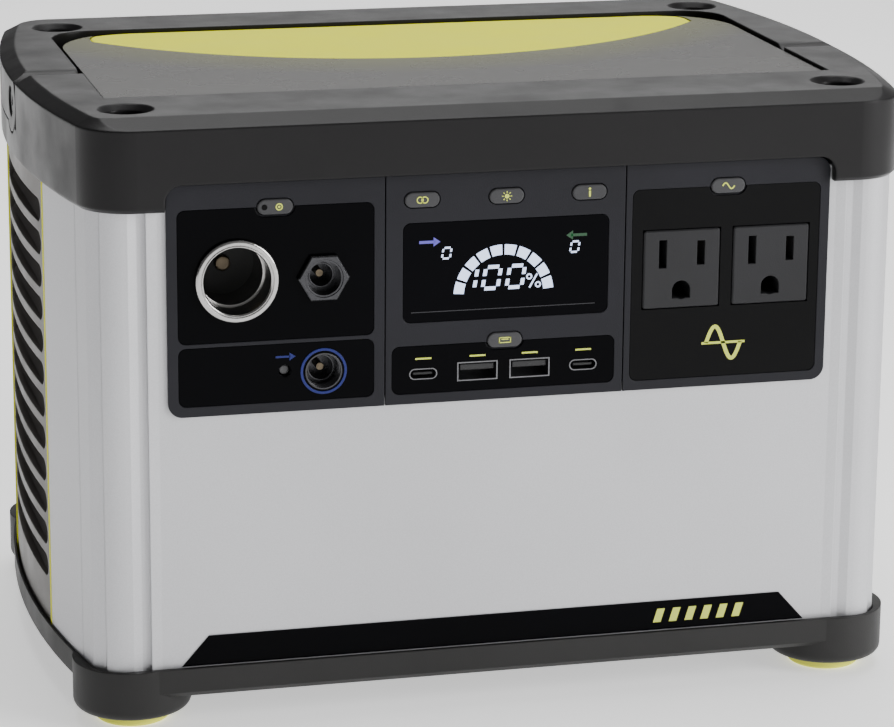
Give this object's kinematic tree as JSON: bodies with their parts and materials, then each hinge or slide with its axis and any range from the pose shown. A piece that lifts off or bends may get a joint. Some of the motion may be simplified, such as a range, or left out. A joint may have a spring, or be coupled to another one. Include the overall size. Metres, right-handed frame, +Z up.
{
  "type": "power station",
  "caption": "Portable battery power station with aluminium shells, louvred sides, fold-up carrying handle and a front panel of outlets, ports, buttons and display.",
  "frame": {"origin": "middle of the footprint, on the surface the feet stand on", "axes": "+Z up, front panel faces -Y, +X to the right seen from the front"},
  "size_m": [0.2852, 0.1976, 0.1973],
  "materials": {
    "tray_plastic": "matte",
    "shell_aluminium": "bead blasted",
    "vent_plastic": "matte",
    "lid_plastic": "satin",
    "deck_plastic": "satin",
    "lime_plastic": "satin",
    "dark_steel": "blackened",
    "white_nylon": "matte",
    "gloss_black": "gloss",
    "bezel_plastic": "fine texture",
    "matte_black": "matte",
    "window_glass": "polished",
    "bright_chrome": "polished",
    "insulator_plastic": "matte",
    "contact_brass": "satin",
    "port_metal": "satin",
    "blue_plastic": "satin",
    "led_lens": "gloss",
    "usb_steel": "satin",
    "tongue_plastic": "matte",
    "outlet_plastic": "matte",
    "cell_wrap": "satin",
    "circuit_board": "satin",
    "fan_plastic": "matte",
    "foot_rubber": "matte",
    "button_rubber": "matte"
  },
  "bodies": {
    "case": {"base_tray": "tray_plastic", "battery_board": "circuit_board", "battery_cells": "cell_wrap", "bezel_12v": "bezel_plastic", "bezel_ac": "bezel_plastic", "bezel_display": "bezel_plastic", "case_screws": "dark_steel", "cell_holders": "insulator_plastic", "dc_port_body": "port_metal", "dc_port_nut": "port_metal", "deck_insert": "deck_plastic", "display_window": "window_glass", "fan_frame": "fan_plastic", "foot_front_left": "foot_rubber", "foot_front_right": "foot_rubber", "foot_rear_left": "foot_rubber", "foot_rear_right": "foot_rubber", "front_shell": "shell_aluminium", "grip_insert": "lime_plastic", "inlay_12v": "gloss_black", "inlay_ac": "matte_black", "inlay_input": "gloss_black", "inlay_usb": "gloss_black", "input_led": "led_lens", "input_port_body": "port_metal", "input_port_ring": "blue_plastic", "inverter_board": "circuit_board", "lcd_module": "matte_black", "left_vent_panel": "vent_plastic", "nameplate": "gloss_black", "outlet_contacts": "contact_brass", "outlet_left": "outlet_plastic", "outlet_right": "outlet_plastic", "panel_board": "circuit_board", "pivot_pins": "dark_steel", "pivot_washers": "white_nylon", "port_pins": "contact_brass", "rear_shell": "shell_aluminium", "right_vent_panel": "vent_plastic", "socket_12v_contact": "contact_brass", "socket_12v_insulator": "insulator_plastic", "socket_12v_shell": "bright_chrome", "top_cover": "lid_plastic", "trim_front_left": "lime_plastic", "trim_front_right": "lime_plastic", "trim_rear_left": "lime_plastic", "trim_rear_right": "lime_plastic", "usb_a_left": "usb_steel", "usb_a_right": "usb_steel", "usb_c_left": "usb_steel", "usb_c_right": "usb_steel", "usb_tongues": "tongue_plastic"},
    "handle": {"handle": "lid_plastic"},
    "fan": {"fan_rotor": "fan_plastic"},
    "button_12v_body": {"button_12v": "button_rubber"},
    "button_ac_body": {"button_ac": "button_rubber"},
    "button_info_body": {"button_info": "button_rubber"},
    "button_light_body": {"button_light": "button_rubber"},
    "button_pairing_body": {"button_pairing": "button_rubber"},
    "button_usb_body": {"button_usb": "button_rubber"}
  },
  "joints": [
    {"name": "handle_hinge", "type": "hinge", "parent": "case", "child": "handle", "pos_m": [0, -0.003, 0.1873], "axis": [1, 0, 0], "range_deg": [0, 90]},
    {"name": "fan_spin", "type": "hinge", "parent": "case", "child": "fan", "pos_m": [0.1195, 0, 0.09], "axis": [1, 0, 0], "continuous": true},
    {"name": "12v_press", "type": "slide", "parent": "case", "child": "button_12v_body", "axis": [0, 1, 0], "range_m": [0, 0.0008], "stiffness_N_per_m": 500},
    {"name": "ac_press", "type": "slide", "parent": "case", "child": "button_ac_body", "axis": [0, 1, 0], "range_m": [0, 0.0008], "stiffness_N_per_m": 500},
    {"name": "info_press", "type": "slide", "parent": "case", "child": "button_info_body", "axis": [0, 1, 0], "range_m": [0, 0.0008], "stiffness_N_per_m": 500},
    {"name": "light_press", "type": "slide", "parent": "case", "child": "button_light_body", "axis": [0, 1, 0], "range_m": [0, 0.0008], "stiffness_N_per_m": 500},
    {"name": "pairing_press", "type": "slide", "parent": "case", "child": "button_pairing_body", "axis": [0, 1, 0], "range_m": [0, 0.0008], "stiffness_N_per_m": 500},
    {"name": "usb_press", "type": "slide", "parent": "case", "child": "button_usb_body", "axis": [0, 1, 0], "range_m": [0, 0.0008], "stiffness_N_per_m": 500}
  ]
}
